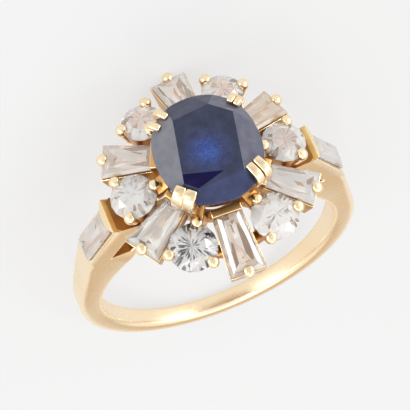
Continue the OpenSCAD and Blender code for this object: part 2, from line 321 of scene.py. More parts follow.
def shoulder_place(out, along):
    """Frame on the right shoulder: X back down the flat top, Y along the finger, Z out of it."""
    return turn(-SHOULDER_SLOPE, "Y") @ Matrix.Translation((out, 0, along)) @ turn(90, "Y")


def on_shoulder(out, along):
    angle = math.radians(SHOULDER_SLOPE)
    return Vector((
        out * math.cos(angle) - along * math.sin(angle),
        0,
        out * math.sin(angle) + along * math.cos(angle),
    ))


def on_arc(radius, angle):
    return Vector((radius * math.cos(math.radians(angle)), 0, radius * math.sin(math.radians(angle))))


def stone_room(node):
    """A copy of a stone in the ring's own frame, a little larger, to cut its seat with."""
    room = copy_of(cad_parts[node], node + "_room")
    room.parent = None
    room.matrix_world = LYING.inverted()
    settle(room)
    close_seams(room)
    corners = [Vector(corner) for corner in room.bound_box]
    heart = sum(corners, Vector()) / len(corners)
    place(room, Matrix.Translation(heart) @ Matrix.Scale(STONE_ROOM, 4) @ Matrix.Translation(-heart))
    return room


# Materials

# How fine the noise on each surface is, in waves to a metre
ALLOY_GRAIN = 260
WEAR_GRAIN = 900
BLUE_GRAIN = 1500
GLOW_GRAIN = 5600
FLOOR_GRAIN = 6

# Clear stones: how clear they are, and how the painted light and shade of their small facets run
STEP_CLEARNESS = 0.58
ROUND_CLEARNESS = 0.55
CRISP_CLEARNESS = 0.7
ROUND_SPLINTERS = 5.0
CRISP_SPLINTERS = 8.0
SPLINTER_BREAKS = 2.2
BARS_PER_MM = 3.0
BAR_BREAKS = 0.55
END_BARS = 7.3
SIDE_BARS = 2.7

# Blue stone: the middle and reach of the painted glow in its table, and the two lines that bound its
# painted darkest zone, each a place on it and the direction inwards
GLOW_PLACE = (-0.22, -0.66, 16.73)
GLOW_REACH = 0.0026
DARK_ZONE_LINES = (
    ((0.1, -2.28, 16.73), (-0.285, -1, 0)),
    ((0.1, -2.42, 16.73), (-0.30, 1, 0)),
)


def new_material(name):
    material = bpy.data.materials.new(name)
    material.use_nodes = True
    return material, material.node_tree.nodes, material.node_tree.links


def noise(nodes, links, where, scale, detail=4.0, seed=0.0):
    texture = nodes.new("ShaderNodeTexNoise")
    texture.noise_dimensions = "4D"
    texture.inputs["W"].default_value = seed
    texture.inputs["Scale"].default_value = scale
    texture.inputs["Detail"].default_value = detail
    links.new(where, texture.inputs["Vector"])
    return texture.outputs["Fac"]


def shards(nodes, links, where, seed):
    """A tone from 0 to 1 for each of many small facets with straight edges."""
    texture = nodes.new("ShaderNodeTexVoronoi")
    texture.voronoi_dimensions = "4D"
    texture.inputs["W"].default_value = seed
    texture.inputs["Scale"].default_value = 1.0
    links.new(where, texture.inputs["Vector"])
    tone = nodes.new("ShaderNodeSeparateColor")
    links.new(texture.outputs["Color"], tone.inputs["Color"])
    return tone.outputs["Red"]


def ramp(nodes, links, source, stops):
    blend = nodes.new("ShaderNodeValToRGB")
    links.new(source, blend.inputs["Fac"])
    while len(blend.color_ramp.elements) < len(stops):
        blend.color_ramp.elements.new(0.5)
    for element, (position, colour) in zip(blend.color_ramp.elements, stops):
        element.position = position
        element.color = (*colour, 1)
    return blend.outputs["Color"]


def mixed(nodes, links, blend, first, second):
    both = nodes.new("ShaderNodeMix")
    both.data_type = "RGBA"
    both.blend_type = blend
    both.inputs["Factor"].default_value = 1.0
    links.new(first, both.inputs["A"])
    links.new(second, both.inputs["B"])
    return both.outputs["Result"]


def spread(nodes, links, source, low, high):
    between = nodes.new("ShaderNodeMapRange")
    between.inputs["To Min"].default_value = low
    between.inputs["To Max"].default_value = high
    links.new(source, between.inputs["Value"])
    return between.outputs["Result"]


def yellow_gold(name, pale, deep, smoothest, roughest):
    """Yellow gold between two tones and two roughnesses."""
    material, nodes, links = new_material(name)
    shader = nodes["Principled BSDF"]
    shader.inputs["Metallic"].default_value = 1.0
    where = nodes.new("ShaderNodeTexCoord").outputs["Object"]
    alloy = ramp(nodes, links, noise(nodes, links, where, ALLOY_GRAIN), ((0.3, deep), (0.7, pale)))
    links.new(alloy, shader.inputs["Base Color"])
    wear = spread(nodes, links, noise(nodes, links, where, WEAR_GRAIN, 6), smoothest, roughest)
    links.new(wear, shader.inputs["Roughness"])
    return material


def clear_stone(name, clearness):
    material, nodes, links = new_material(name)
    shader = nodes["Principled BSDF"]
    shader.inputs["Transmission Weight"].default_value = clearness
    shader.inputs["IOR"].default_value = 2.1
    shader.inputs["Roughness"].default_value = 0.0
    return material, nodes, links, shader


def own_place(nodes, links, axes):
    """Object coordinates in millimetres from a stone's middle, along its own axes."""
    where = nodes.new("ShaderNodeTexCoord").outputs["Object"]
    own = nodes.new("ShaderNodeMapping")
    own.vector_type = "TEXTURE"
    own.inputs["Location"].default_value = axes.to_translation()
    own.inputs["Rotation"].default_value = axes.normalized().to_euler()
    own.inputs["Scale"].default_value = (MILLIMETRE, MILLIMETRE, MILLIMETRE)
    links.new(where, own.inputs["Vector"])
    return own.outputs["Vector"]


def calculated(nodes, links, operation, *values):
    """One calculation with sockets and plain numbers."""
    step = nodes.new("ShaderNodeMath")
    step.operation = operation
    for entry, value in zip(step.inputs, values):
        if isinstance(value, (int, float)):
            entry.default_value = value
        else:
            links.new(value, entry)
    return step.outputs["Value"]


def vector_step(nodes, links, operation, first, second=None):
    """One vector calculation; its second value is a socket or three numbers."""
    step = nodes.new("ShaderNodeVectorMath")
    step.operation = operation
    links.new(first, step.inputs[0])
    if isinstance(second, tuple):
        step.inputs[1].default_value = second
    elif second:
        links.new(second, step.inputs[1])
    gives_number = operation in ("LENGTH", "DOT_PRODUCT")
    return step.outputs["Value" if gives_number else "Vector"]


def step_cut_stone(name, axes, outline, seed, tones):
    """A step-cut stone: bars of light and shade run along its sides and meet at its corners."""
    length, inner_width, outer_width = outline
    material, nodes, links, shader = clear_stone(name, STEP_CLEARNESS)

    def step(operation, *values):
        return calculated(nodes, links, operation, *values)

    own = nodes.new("ShaderNodeSeparateXYZ")
    links.new(own_place(nodes, links, axes), own.inputs["Vector"])
    x = own.outputs["X"]
    y = own.outputs["Y"]
    taper = (outer_width - inner_width) / 2 / length
    half_width = step("MULTIPLY_ADD", x, taper, (inner_width + outer_width) / 4)
    from_side = step("SUBTRACT", half_width, step("ABSOLUTE", y))
    from_end = step("SUBTRACT", length / 2, step("ABSOLUTE", x))
    at_end = step("LESS_THAN", from_end, from_side)
    deep = step("MINIMUM", from_side, from_end)
    along = step("ADD", x, step("MULTIPLY", y, at_end))
    group = step("MULTIPLY_ADD", at_end, END_BARS, step("MULTIPLY", step("SIGN", y), SIDE_BARS))
    spot = nodes.new("ShaderNodeCombineXYZ")
    links.new(step("MULTIPLY", deep, BARS_PER_MM), spot.inputs["X"])
    links.new(step("MULTIPLY", along, BAR_BREAKS), spot.inputs["Y"])
    links.new(group, spot.inputs["Z"])
    bars = shards(nodes, links, spot.outputs["Vector"], seed)
    links.new(ramp(nodes, links, bars, tones), shader.inputs["Base Color"])
    return material


def star_cut_stone(name, axes, seed, tones, clearness=ROUND_CLEARNESS, splinters=ROUND_SPLINTERS):
    """A round brilliant: splinters of light and dark run out from the middle of its table."""
    material, nodes, links, shader = clear_stone(name, clearness)
    flat = vector_step(nodes, links, "MULTIPLY", own_place(nodes, links, axes), (1, 1, 0))
    out = vector_step(nodes, links, "LENGTH", flat)
    around = vector_step(nodes, links, "NORMALIZE", flat)
    around = vector_step(nodes, links, "MULTIPLY", around, (splinters, splinters, 0))
    drift = nodes.new("ShaderNodeCombineXYZ")
    links.new(calculated(nodes, links, "MULTIPLY", out, SPLINTER_BREAKS), drift.inputs["Z"])
    path = vector_step(nodes, links, "ADD", around, drift.outputs["Vector"])
    links.new(ramp(nodes, links, shards(nodes, links, path, seed), tones), shader.inputs["Base Color"])
    return material


def inside_line(nodes, links, where, start, inwards):
    """Distance in millimetres from a line on the blue stone's table, counted inwards."""
    turned = (LYING.to_3x3() @ Vector(inwards)).normalized()
    reach = vector_step(nodes, links, "DOT_PRODUCT", where, tuple(turned))
    from_start = calculated(nodes, links, "SUBTRACT", reach, turned.dot(LYING @ Vector(start)))
    return calculated(nodes, links, "DIVIDE", from_start, MILLIMETRE)


def dark_zone(nodes, links, where):
    """Painted shade: tones that darken the blue stone where its lower facets show through the table."""
    distances = [inside_line(nodes, links, where, *line) for line in DARK_ZONE_LINES]
    return ramp(nodes, links, calculated(nodes, links, "MINIMUM", *distances), DARK_ZONE_TONES)


def speckled_glow(nodes, links, where):
    """Painted light: speckles of brighter blue that fade out round the middle of the table."""
    centre = nodes.new("ShaderNodeMapping")
    centre.inputs["Location"].default_value = -(LYING @ Vector(GLOW_PLACE))
    links.new(where, centre.inputs["Vector"])
    near = nodes.new("ShaderNodeMapRange")
    near.inputs["From Min"].default_value = GLOW_REACH
    near.inputs["From Max"].default_value = 0.0
    links.new(vector_step(nodes, links, "LENGTH", centre.outputs["Vector"]), near.inputs["Value"])
    speckle = noise(nodes, links, where, GLOW_GRAIN, 8)
    share = calculated(nodes, links, "MULTIPLY", near.outputs["Result"], speckle)
    return ramp(nodes, links, share, GLOW_TONES)


def blue_stone(name, deep, pale, shine, lit_from_within=False):
    """Deep blue between two tones, with the painted glow and painted dark zone if it is lit from
    within.
    """
    material, nodes, links = new_material(name)
    shader = nodes["Principled BSDF"]
    shader.inputs["IOR"].default_value = 1.77
    shader.inputs["Specular IOR Level"].default_value = shine
    shader.inputs["Roughness"].default_value = 0.0
    where = nodes.new("ShaderNodeTexCoord").outputs["Object"]
    colour = ramp(nodes, links, noise(nodes, links, where, BLUE_GRAIN, 7), ((0.3, deep), (0.7, pale)))
    if lit_from_within:
        colour = mixed(nodes, links, "ADD", colour, speckled_glow(nodes, links, where))
        colour = mixed(nodes, links, "MULTIPLY", colour, dark_zone(nodes, links, where))
    links.new(colour, shader.inputs["Base Color"])
    return material


def grey(value):
    return (value, value, value)


# Gold: satin on the band, polished on collets and end bars, pale on claws and shoulder bars, with
# painted warm shade on the shoulder bars' inner sides and deep in the forks, and unpolished gold with
# painted shade, or painted deep shade, in all darker places
POLISHED_GOLD = yellow_gold("polished_gold", (0.99, 0.80, 0.52), (0.96, 0.73, 0.43), 0.12, 0.22)
SATIN_GOLD = yellow_gold("satin_gold", (1, 0.84, 0.60), (0.98, 0.77, 0.50), 0.24, 0.30)
CLAW_GOLD = yellow_gold("claw_gold", (1, 0.83, 0.57), (0.98, 0.76, 0.46), 0.20, 0.28)
# Painted warm shade: a more orange gold for faces that look into the forks and the bars' inner sides
WARM_SHADE_GOLD = yellow_gold("warm_shade_gold", (1, 0.85, 0.46), (1, 0.79, 0.38), 0.40, 0.50)
# Unpolished gold whose darker colour is painted shade; the shaded gold after it is painted deeper shade
RAW_SHADE_GOLD = yellow_gold("raw_shade_gold", (0.72, 0.41, 0.15), (0.50, 0.26, 0.08), 0.30, 0.45)
SHADED_GOLD = yellow_gold("shaded_gold", (0.42, 0.22, 0.08), (0.26, 0.13, 0.04), 0.35, 0.50)

# Painted light and shade of the small facets, from the darkest: up to which share of the facets, and
# the tone
STEP_SIDE_TONES = (
    (0.12, (0.46, 0.37, 0.30)), (0.22, (0.86, 0.78, 0.71)),
    (0.50, (0.98, 0.92, 0.86)), (0.68, (1, 0.99, 0.96)),
)
STEP_TABLE_TONES = (
    (0.12, (0.36, 0.27, 0.21)), (0.24, (0.78, 0.67, 0.58)),
    (0.50, (0.92, 0.84, 0.77)), (0.70, (1, 0.98, 0.94)),
)
PALE_TONES = (
    (0.05, (0.58, 0.46, 0.38)), (0.12, (0.90, 0.81, 0.74)),
    (0.32, (0.99, 0.93, 0.88)), (0.48, (1, 0.99, 0.97)),
)
MILKY_TONES = ((0.05, (0.86, 0.62, 0.41)), (0.45, (0.95, 0.76, 0.57)), (0.90, (1, 0.89, 0.76)))
WARM_SIDE_TONES = (
    (0.12, (0.40, 0.27, 0.18)), (0.24, (0.78, 0.65, 0.54)),
    (0.60, (0.90, 0.79, 0.69)), (0.80, (1, 0.95, 0.88)),
)
WARM_TABLE_TONES = (
    (0.14, (0.34, 0.21, 0.13)), (0.26, (0.72, 0.55, 0.43)),
    (0.65, (0.86, 0.71, 0.59)), (0.85, (1, 0.94, 0.88)),
)
ROSY_TONES = (
    (0.10, (0.52, 0.37, 0.28)), (0.20, (0.84, 0.69, 0.59)),
    (0.50, (0.93, 0.80, 0.71)), (0.75, (1, 0.94, 0.88)),
)
OWN_TONES = {
    "taper_1": (MILKY_TONES, MILKY_TONES),
    "taper_2": (STEP_SIDE_TONES, ROSY_TONES),
    "taper_3": (ROSY_TONES, ROSY_TONES),
    "taper_5": (WARM_SIDE_TONES, WARM_TABLE_TONES),
    "taper_6": (PALE_TONES, PALE_TONES),
    "baguette_right": (PALE_TONES, PALE_TONES),
    "baguette_left": (ROSY_TONES, STEP_TABLE_TONES),
}
ROUND_SIDE_TONES = (
    (0.04, (0.38, 0.28, 0.20)), (0.12, (0.72, 0.61, 0.52)),
    (0.26, (0.93, 0.87, 0.82)), (0.42, (1, 0.98, 0.96)),
)
PINK_TABLE_TONES = ((0.05, (0.52, 0.36, 0.28)), (0.18, (0.76, 0.60, 0.51)), (0.80, (0.95, 0.82, 0.74)))
WHITE_TABLE_TONES = (
    (0.04, (0.40, 0.34, 0.30)), (0.12, (0.76, 0.70, 0.66)),
    (0.24, (0.95, 0.91, 0.89)), (0.38, (1, 0.99, 0.98)),
)
CRISP_TONES = ((0.14, grey(0.02)), (0.30, (0.62, 0.58, 0.56)), (0.44, (1, 0.98, 0.97)))

# Blue stone: painted glow, and painted dark zone, whose tones go inwards from its edge, in millimetres
GLOW_TONES = (
    (0.12, (0, 0, 0)), (0.28, (0.001, 0.006, 0.034)),
    (0.38, (0.002, 0.019, 0.11)), (0.52, (0.005, 0.042, 0.20)),
)
DARK_ZONE_TONES = (
    (0.0, grey(1)), (0.03, (0.07, 0.04, 0.42)),
    (0.35, (0.08, 0.03, 0.52)), (0.8, (0.34, 0.15, 0.52)),
)
# The table carries the painted glow and the painted dark zone
BLUE_TABLE = blue_stone("deep_blue_table", (0.026, 0.029, 0.050), (0.040, 0.046, 0.085), 0.07, True)
# Painted reflection of the bright room in the crown facets: lightest on the left, then the right,
# dimmest at the top
LEFT_REFLECTION_FACETS = blue_stone("painted_reflection_left_facets", (0.140, 0.144, 0.172), (0.190, 0.188, 0.214), 0.12)
RIGHT_REFLECTION_FACETS = blue_stone("painted_reflection_right_facets", (0.090, 0.094, 0.128), (0.138, 0.137, 0.178), 0.12)
TOP_REFLECTION_FACETS = blue_stone("painted_reflection_top_facets", (0.036, 0.039, 0.066), (0.062, 0.066, 0.103), 0.12)
BLUE_FACETS = blue_stone("deep_blue_facets", (0.026, 0.032, 0.074), (0.041, 0.049, 0.112), 0.10)


# Band and forked shoulders

# Rounding of the band's edges: the outer edges' full width, how it grows up to the flare and
# shrinks from there to the shoulder, and its shares under the head and on the other edges
OUTER_EASE = 0.6
EASE_GAIN = 0.15
EASE_LOSS = 0.6
ARCH_EASE = 0.08
INNER_WEIGHT = 0.62
ARM_WEIGHT = 0.5
CORNER_WEIGHT = 0.12

SHOULDER_CORNER = on_shoulder(SHOULDER_REACH, SHOULDER_OUT)
FORK = on_shoulder(SHOULDER_REACH - ARM_THICKNESS, FORK_PLACE)
ARM_TOP = on_shoulder(SHOULDER_REACH, BAR_IN + BAR_DEPTH)
ARM_UNDER = on_shoulder(SHOULDER_REACH - ARM_THICKNESS - ARM_TAPER, FORK_PLACE + ARM_UNDER_RUN)


def round_reach(angle):
    rise = 1 + math.sin(math.radians(angle))
    return FINGER_R + LOW_THICKNESS + (SIDE_THICKNESS - LOW_THICKNESS) * rise


def outer_place(step):
    """Where the band's outer edge goes in one section, counted from the bottom."""
    angle = -90 + step * SECTION_ANGLE
    corners = {
        CORNER_SECTION: SHOULDER_CORNER,
        CORNER_SECTION + 1: (SHOULDER_CORNER + FORK) / 2,
        FORK_SECTION: FORK,
    }
    if step in corners:
        return corners[step]
    if angle < FLARE_ANGLE:
        return on_arc(round_reach(angle), angle)
    if angle < SHOULDER_ANGLE:
        spread_out = 1 / math.cos(math.radians(angle - FLARE_ANGLE))
        return on_arc(round_reach(FLARE_ANGLE) * spread_out, angle)
    return on_arc(FINGER_R + ARCH_THICKNESS, angle)


def section_width(angle):
    if angle < ARCH_ANGLE:
        share = (1 + math.sin(math.radians(angle))) / (1 + math.sin(math.radians(SHOULDER_ANGLE)))
        return LOW_WIDTH + (SHOULDER_WIDTH - LOW_WIDTH) * min(share, 1)
    share = math.cos(math.radians(angle)) / math.cos(math.radians(ARCH_ANGLE))
    return ARCH_WIDTH + (ARCH_SIDE_WIDTH - ARCH_WIDTH) * share


def edge_ease(step):
    """Share of the full rounding that the band's outer edges get in one section."""
    angle = -90 + step * SECTION_ANGLE
    if angle > SHOULDER_ANGLE:
        return ARCH_EASE
    if angle > FLARE_ANGLE:
        return 1 + EASE_GAIN - EASE_LOSS * (angle - FLARE_ANGLE) / (SHOULDER_ANGLE - FLARE_ANGLE)
    return 1 + EASE_GAIN * (angle + 90) / (FLARE_ANGLE + 90)


def is_near(point, target, reach=0.05):
    return math.hypot(point.x - target.x, point.z - target.z) < reach


def build_band():
    middle_r = FINGER_R + ARCH_THICKNESS / 2
    bpy.ops.mesh.primitive_plane_add(
        size=1, location=(0, 0, -middle_r), rotation=(0, math.radians(90), 0),
    )
    band = added("band_and_shoulders")
    edit(band)
    swell(z=ARCH_THICKNESS, about=(0, 0, -middle_r))
    bpy.ops.mesh.delete(type="ONLY_FACE")
    bpy.ops.mesh.select_all(action="SELECT")
    bpy.ops.mesh.spin(steps=SECTIONS, angle=math.pi, center=(0, 0, 0), axis=(0, 1, 0))

    # Each section gets its width, and its outer edge goes out to the band's thickness
    for step in range(SECTIONS + 1):
        angle = -90 + step * SECTION_ANGLE
        inner = on_arc(FINGER_R, angle)
        outer = on_arc(FINGER_R + ARCH_THICKNESS, angle)
        pick("verts", lambda p: is_near(p, inner) or is_near(p, outer))
        swell(y=section_width(angle))
        pick("verts", lambda p: is_near(p, outer))
        shift(*(outer_place(step) - outer))

    # The upper arm of the fork grows from the two faces between the corner and the fork
    low = min(SHOULDER_CORNER.z, FORK.z)
    pick("faces", lambda p, n: n.z > 0.8 and FORK.x < p.x < SHOULDER_CORNER.x and p.z > low)
    reach = ARM_TOP - SHOULDER_CORNER
    extrude(*reach)
    half_way = (SHOULDER_CORNER + FORK) / 2 + reach
    pick("verts", lambda p: is_near(p, FORK + reach))
    shift(*(ARM_UNDER - FORK - reach))
    pick("verts", lambda p: is_near(p, half_way))
    shift(*((ARM_TOP + ARM_UNDER) / 2 - half_way))
    arm_end = (ARM_TOP + ARM_UNDER) / 2
    pick("faces", lambda p, n: abs(p.y) < 0.01 and is_near(p, arm_end, 0.8) and n.x < 0.2)
    extrude(x=GALLERY_R - ARM_TOP.x)
    pick("verts", lambda p: abs(p.x - GALLERY_R) < 0.3 and abs(p.z - ARM_TOP.z) < 0.05)
    shift(z=GALLERY_Z + ARM_END_RISE - ARM_TOP.z)
    done()

    round_off_band(band)
    cut_baguette_seat(band)
    modify(band, "MIRROR", use_axis=(True, False, False), merge_threshold=SEAM)
    close_seams(band)
    polish(band)
    return band


def runs_between(a, b, start, end):
    """Whether an edge's two ends lie at two places, either way round."""
    return is_near(a, start) and is_near(b, end) or is_near(a, end) and is_near(b, start)


def round_off_band(band):
    """Rounds the edges that run along the band and its arms, the lower ones most."""
    edit(band)
    for step in range(SECTIONS):
        if CORNER_SECTION <= step < FORK_SECTION:
            continue
        ends = (outer_place(step), outer_place(step + 1))
        pick("edges", lambda a, b: abs(a.y - b.y) < 0.3 and runs_between(a, b, *ends))
        bpy.ops.transform.edge_bevelweight(value=edge_ease(step))
    inner_r = FINGER_R + 0.02
    pick("edges", lambda a, b: a.y * b.y > 0 and math.hypot(a.x, a.z) < inner_r
         and math.hypot(b.x, b.z) < inner_r)
    bpy.ops.transform.edge_bevelweight(value=INNER_WEIGHT)
    for ends in ((SHOULDER_CORNER, ARM_TOP), (FORK, ARM_UNDER)):
        pick("edges", lambda a, b: a.y * b.y > 0 and runs_between(a, b, *ends))
        bpy.ops.transform.edge_bevelweight(value=ARM_WEIGHT)
    pick("edges", lambda a, b: a.y * b.y < 0 and is_near(a, SHOULDER_CORNER)
         and is_near(b, SHOULDER_CORNER))
    bpy.ops.transform.edge_bevelweight(value=CORNER_WEIGHT)
    done()
    ease_weighted_edges(band, OUTER_EASE, 5)


BAGUETTE_HALF_LENGTH = 1.75
BAGUETTE_HALF_WIDTH = 0.925
SEAT_GAP = 0.03
KEEL_INSET = 0.8
# Heights from the girdle of a baguette: over it, and under it to the end of the walls and keel
SEAT_TOP = 1.05
SEAT_WALL = 0.05
SEAT_KEEL = 1.10


def cut_baguette_seat(band):
    """Cuts the hollow for a baguette: upright walls, then sides that follow it to its keel."""
    half_length = BAGUETTE_HALF_LENGTH + SEAT_GAP
    half_width = BAGUETTE_HALF_WIDTH + SEAT_GAP
    middle = (0, 0, (SEAT_TOP - SEAT_WALL) / 2)
    bpy.ops.mesh.primitive_cube_add(size=2, location=middle)
    seat = added("baguette_seat")
    edit(seat)
    bpy.ops.mesh.select_all(action="SELECT")
    swell(x=half_length, y=half_width, z=(SEAT_TOP + SEAT_WALL) / 2, about=middle)
    pick("faces", lambda p, n: n.z < -0.9)
    extrude(z=SEAT_WALL - SEAT_KEEL)
    swell(
        x=(half_length - KEEL_INSET) / half_length,
        y=(half_width - KEEL_INSET) / half_width,
    )
    done()
    place(seat, shoulder_place(SHOULDER_REACH + BAGUETTE_PROUD, BAGUETTE_MIDDLE))
    cut(band, seat)
    discard(seat)


def build_shoulder_bar():
    """Half-moon bar across the inner end of the right baguette."""
    bpy.ops.mesh.primitive_cylinder_add(
        vertices=64, radius=BAR_RADIUS, depth=BAR_HEIGHT + BAR_SUNK,
        location=(-BAR_RADIUS, 0, (BAR_HEIGHT - BAR_SUNK) / 2),
    )
    bar = added("shoulder_bar_right")
    edit(bar)
    bpy.ops.mesh.select_all(action="SELECT")
    bpy.ops.mesh.bisect(
        plane_co=(-BAR_DEPTH - BAR_FORWARD, 0, 0), plane_no=(1, 0, 0), use_fill=True, clear_inner=True,
    )
    done()
    ease_edges(bar, 0.09, 4, 50)
    # Painted warm shade on the bar's inner side
    dress(bar, CLAW_GOLD, (WARM_SHADE_GOLD, lambda p, n: n.x < -0.9))
    place(bar, shoulder_place(SHOULDER_REACH, BAR_IN - BAR_FORWARD))
    polish(bar)
    return bar


def other_side(piece, name):
    copy = copy_of(piece, name)
    place(copy, Matrix.Scale(-1, 4, (1, 0, 0)))
    close_seams(copy)
    polish(copy)
    return copy


# Rails under the head: name, radius, height, half width, half height
RAILS = (
    ("basket_rail", BASKET_R, BASKET_Z, 0.40, 0.40),
    ("gallery_rail", GALLERY_R, GALLERY_Z, 0.40, 0.42),
    ("rim_rail", RIM_R, RIM_Z, 0.17, 0.20),
)
STRUT_R = 0.32
STRUT_WAIST = 0.8


def build_rail(name, radius, height, half_width, half_height):
    """A hoop of wire round the axis of the head, with its outer edges eased."""
    bpy.ops.mesh.primitive_plane_add(
        size=2, location=(radius, 0, height), rotation=(math.radians(90), 0, 0),
    )
    rail = added(name)
    edit(rail)
    bpy.ops.mesh.select_all(action="SELECT")
    swell(x=half_width, z=half_height, about=(radius, 0, height))
    bpy.ops.mesh.bevel(offset=0.6 * min(half_width, half_height), segments=4, affect="VERTICES")
    bpy.ops.mesh.delete(type="ONLY_FACE")
    bpy.ops.mesh.select_all(action="SELECT")
    bpy.ops.mesh.spin(steps=72, angle=2 * math.pi, center=(0, 0, 0), axis=(0, 0, 1))
    done()
    close_seams(rail)
    return rail


def build_strut():
    """Bar from the basket rail out to the gallery rail, thinner in its middle."""
    run = Vector((GALLERY_R - BASKET_R, 0, GALLERY_Z - BASKET_Z))
    bpy.ops.mesh.primitive_cylinder_add(vertices=16, radius=STRUT_R, depth=run.length)
    strut = added("strut")
    edit(strut)
    bpy.ops.mesh.select_all(action="SELECT")
    bpy.ops.mesh.subdivide(number_cuts=3)
    pick("verts", lambda p: abs(p.z) < 0.2 * run.length)
    swell(x=STRUT_WAIST, y=STRUT_WAIST)
    done()
    lean = math.degrees(math.atan2(run.x, run.z))
    middle = Vector(((BASKET_R + GALLERY_R) / 2, 0, (BASKET_Z + GALLERY_Z) / 2))
    place(strut, Matrix.Translation(middle) @ turn(lean, "Y"))
    return strut


def build_gallery():
    parts = [build_rail(*rail) for rail in RAILS]
    strut = build_strut()
    for direction, *_ in CLAWS:
        copy = copy_of(strut, "strut_copy")
        place(copy, turn(direction, "Z"))
        parts.append(copy)
    discard(strut)
    gallery = join(parts, "gallery_rails")
    polish(gallery, 50)
    return gallery


# Collets and their small claws

def hollow_out(rim, seat_inset, seat_depth):
    """Opens a collet from top to foot, with a slope inside its rim for the stone."""
    pick("faces", lambda p, n: n.z > 0.95)
    bpy.ops.mesh.inset(thickness=rim, use_boundary=True)
    bpy.ops.mesh.inset(thickness=seat_inset, depth=-seat_depth, use_boundary=True)
    mesh = bmesh.from_edit_mesh(bpy.context.edit_object.data)
    floor_z = [face.calc_center_median().z for face in mesh.faces if face.select][0]
    pick("faces", lambda p, n: n.z < -0.95)
    bpy.ops.mesh.inset(thickness=WALL, use_boundary=True)
    pick("faces", lambda p, n: abs(n.z) > 0.95 and math.hypot(p.x, p.y) < 0.05
         and (abs(p.z - floor_z) < 0.01 or p.z < -COLLET_DEPTH + 0.01))
    bpy.ops.mesh.bridge_edge_loops()


SHADE_Z = -0.3


def is_low(p, n):
    """Walls of a collet below its rim, which the stones keep dark; they get painted shade."""
    return p.z < SHADE_Z


ROUND_PATTERN_R = 1.5
ROUND_RIM_Z = -0.09
ROUND_RIM_SHARE = 0.97
ROUND_FOOT_SHARE = 0.72


def build_round_collet():
    """Open cone under a round stone of pattern size."""
    bpy.ops.mesh.primitive_cylinder_add(
        vertices=48, radius=ROUND_RIM_SHARE * ROUND_PATTERN_R, depth=COLLET_DEPTH + ROUND_RIM_Z,
        location=(0, 0, (ROUND_RIM_Z - COLLET_DEPTH) / 2),
    )
    collet = added("round_collet")
    edit(collet)
    pick("verts", lambda p: p.z < -COLLET_DEPTH + 0.01)
    swell(x=ROUND_FOOT_SHARE, y=ROUND_FOOT_SHARE)
    hollow_out(rim=0.05, seat_inset=0.36, seat_depth=0.33)
    done()
    # Painted shade on the walls below the rim
    dress(collet, POLISHED_GOLD, (RAW_SHADE_GOLD, is_low))
    return collet


ROUND_BEAD_OUT = 0.02
TAPER_BEAD_OUT = -0.04
BEAD_R = 0.33
BEAD_WIRE = 1.5
BEAD_WIRE_Z = -0.85
BEAD_FOOT_IN = 0.5
# The steps of a bead's head: how far each rises, how it grows, and how far it leans out
BEAD_STEPS = (
    (0.14, 1.22, 0.02),
    (0.20, 1.05, 0.0),
    (0.18, 0.95, -0.03),
    (0.12, 0.75, -0.04),
    (0.04, 0.45, -0.02),
)


def build_bead_claw():
    """Round wire that rises beside a stone and ends in a domed head leaning over its edge."""
    bpy.ops.mesh.primitive_cylinder_add(
        vertices=12, radius=BEAD_R, depth=BEAD_WIRE, location=(0, 0, BEAD_WIRE_Z),
        end_fill_type="NGON",
    )
    claw = added("bead_claw")
    edit(claw)
    pick("verts", lambda p: p.z < -1)
    shift(x=-BEAD_FOOT_IN)
    for rise, growth, lean in BEAD_STEPS:
        pick("faces", lambda p, n: n.z > 0.9 and p.z > -0.2)
        mesh = bmesh.from_edit_mesh(bpy.context.edit_object.data)
        top = [face.calc_center_median() for face in mesh.faces if face.select][0]
        extrude(x=lean, z=rise)
        swell(x=growth, y=growth, about=(top.x + lean, top.y, top.z + rise))
    done()
    modify(claw, "SUBSURF", levels=2, render_levels=2)
    # Painted shade on the wire below the head
    dress(claw, CLAW_GOLD, (RAW_SHADE_GOLD, lambda p, n: p.z < -0.9))
    polish(claw, 60)
    return claw


def taper_half_width(stone, x, inset):
    """Half width of a tapered stone at a place along it, less an inset."""
    slope = (stone.outer_width - stone.inner_width) / 2 / stone.length
    half_width = (stone.inner_width + stone.outer_width) / 4
    return half_width + slope * x - inset * math.sqrt(1 + slope * slope)


TAPER_RIM_OUT = 0.09
TAPER_RIM_Z = -0.16
SHOWN_RIM_Z = 0.04
TAPER_FOOT_IN = 0.2


def rim_height(stone):
    """Height of the collet's rim against the girdle: it shows only beside one front stone."""
    return SHOWN_RIM_Z if stone.node == "taper_5" else TAPER_RIM_Z


def build_taper_collet(stone):
    """Open box under a tapered stone, narrower at its foot, with a thin rim beside the stone."""
    bpy.ops.mesh.primitive_cube_add(size=2)
    collet = added("taper_collet")
    edit(collet)
    for level, height, inset in (
        (1, rim_height(stone), -TAPER_RIM_OUT), (-1, -COLLET_DEPTH, TAPER_FOOT_IN),
    ):
        for end in (1, -1):
            x = end * (stone.length / 2 - inset)
            half_width = taper_half_width(stone, x, inset)
            pick("verts", lambda p: abs(p.z - level) < 0.01 and abs(p.x - end) < 0.01
                 and abs(abs(p.y) - 1) < 0.001)
            swell(y=half_width)
            shift(x=x - end, z=height - level)
    hollow_out(rim=0.10, seat_inset=0.42, seat_depth=0.40)
    done()
    ease_edges(collet, 0.03, 2, 40)
    # Painted shade on the walls below the rim
    dress(collet, POLISHED_GOLD, (RAW_SHADE_GOLD, is_low))
    return collet


END_BAR_THICKNESS = 0.50
END_BAR_TOP = 0.46
END_BAR_DEPTH = 1.2
END_BAR_FOLD = 0.22
END_BAR_OVERHANG = 0.12


